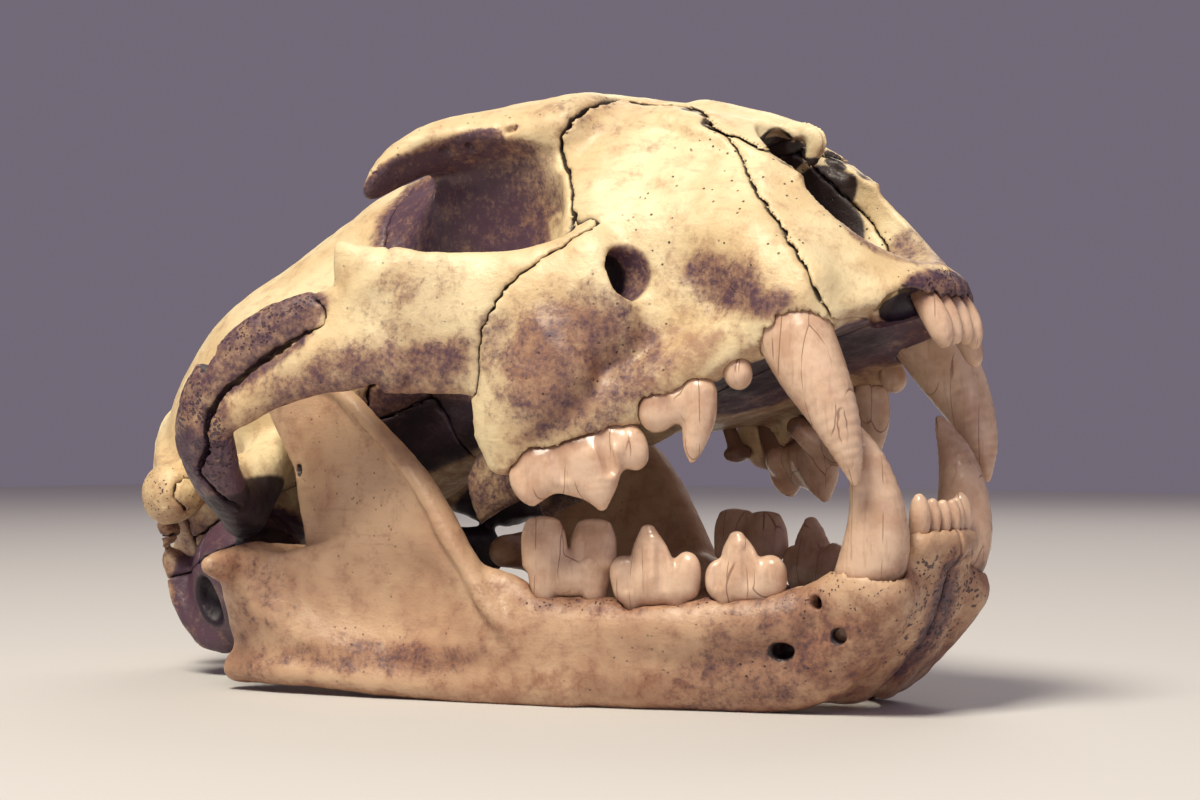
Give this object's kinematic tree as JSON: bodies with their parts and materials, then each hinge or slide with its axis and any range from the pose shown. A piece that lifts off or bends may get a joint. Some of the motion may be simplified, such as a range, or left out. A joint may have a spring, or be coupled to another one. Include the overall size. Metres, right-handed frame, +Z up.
{
  "type": "leopard skull with its lower jaw",
  "caption": "Life-size big cat skull resting on its lower jaw with the mouth part open, parted at its sutures, with separate teeth.",
  "frame": {"origin": "centre of the bounding box, at the surface that the lower jaw rests on", "axes": "+X towards the nose, +Y to the animal's left, +Z up"},
  "size_m": [0.1886, 0.123, 0.1124],
  "materials": {
    "cranium_bone": "dry cream bone with brown and purple stains, matt, porous",
    "jaw_bone": "dry tan bone, matt, finely pitted",
    "tooth_enamel": "glossy beige-pink enamel with fine cracks"
  },
  "bodies": {
    "root": {"nasal_left": "cranium_bone", "nasal_right": "cranium_bone", "premaxilla_left": "cranium_bone", "premaxilla_right": "cranium_bone", "maxilla_left": "cranium_bone", "maxilla_right": "cranium_bone", "jugal_left": "cranium_bone", "jugal_right": "cranium_bone", "frontal_left": "cranium_bone", "frontal_right": "cranium_bone", "palatine_left": "cranium_bone", "palatine_right": "cranium_bone", "temporal_left": "cranium_bone", "temporal_right": "cranium_bone", "bulla_left": "cranium_bone", "bulla_right": "cranium_bone", "occipital": "cranium_bone", "parietal": "cranium_bone", "skull_base": "cranium_bone", "jaw_left": "jaw_bone", "jaw_right": "jaw_bone", "upper_canine_left": "tooth_enamel", "upper_canine_right": "tooth_enamel", "upper_premolar_2_left": "tooth_enamel", "upper_premolar_2_right": "tooth_enamel", "upper_premolar_3_left": "tooth_enamel", "upper_premolar_3_right": "tooth_enamel", "upper_carnassial_left": "tooth_enamel", "upper_carnassial_right": "tooth_enamel", "upper_molar_left": "tooth_enamel", "upper_molar_right": "tooth_enamel", "upper_incisor_3_left": "tooth_enamel", "upper_incisor_2_left": "tooth_enamel", "upper_incisor_2_right": "tooth_enamel", "upper_incisor_1_left": "tooth_enamel", "upper_incisor_1_right": "tooth_enamel", "lower_canine_left": "tooth_enamel", "lower_canine_right": "tooth_enamel", "lower_premolar_3_left": "tooth_enamel", "lower_premolar_3_right": "tooth_enamel", "lower_premolar_4_left": "tooth_enamel", "lower_premolar_4_right": "tooth_enamel", "lower_carnassial_left": "tooth_enamel", "lower_carnassial_right": "tooth_enamel", "lower_incisor_3_left": "tooth_enamel", "lower_incisor_3_right": "tooth_enamel", "lower_incisor_2_left": "tooth_enamel", "lower_incisor_2_right": "tooth_enamel", "lower_incisor_1_left": "tooth_enamel", "lower_incisor_1_right": "tooth_enamel"}
  },
  "joints": []
}
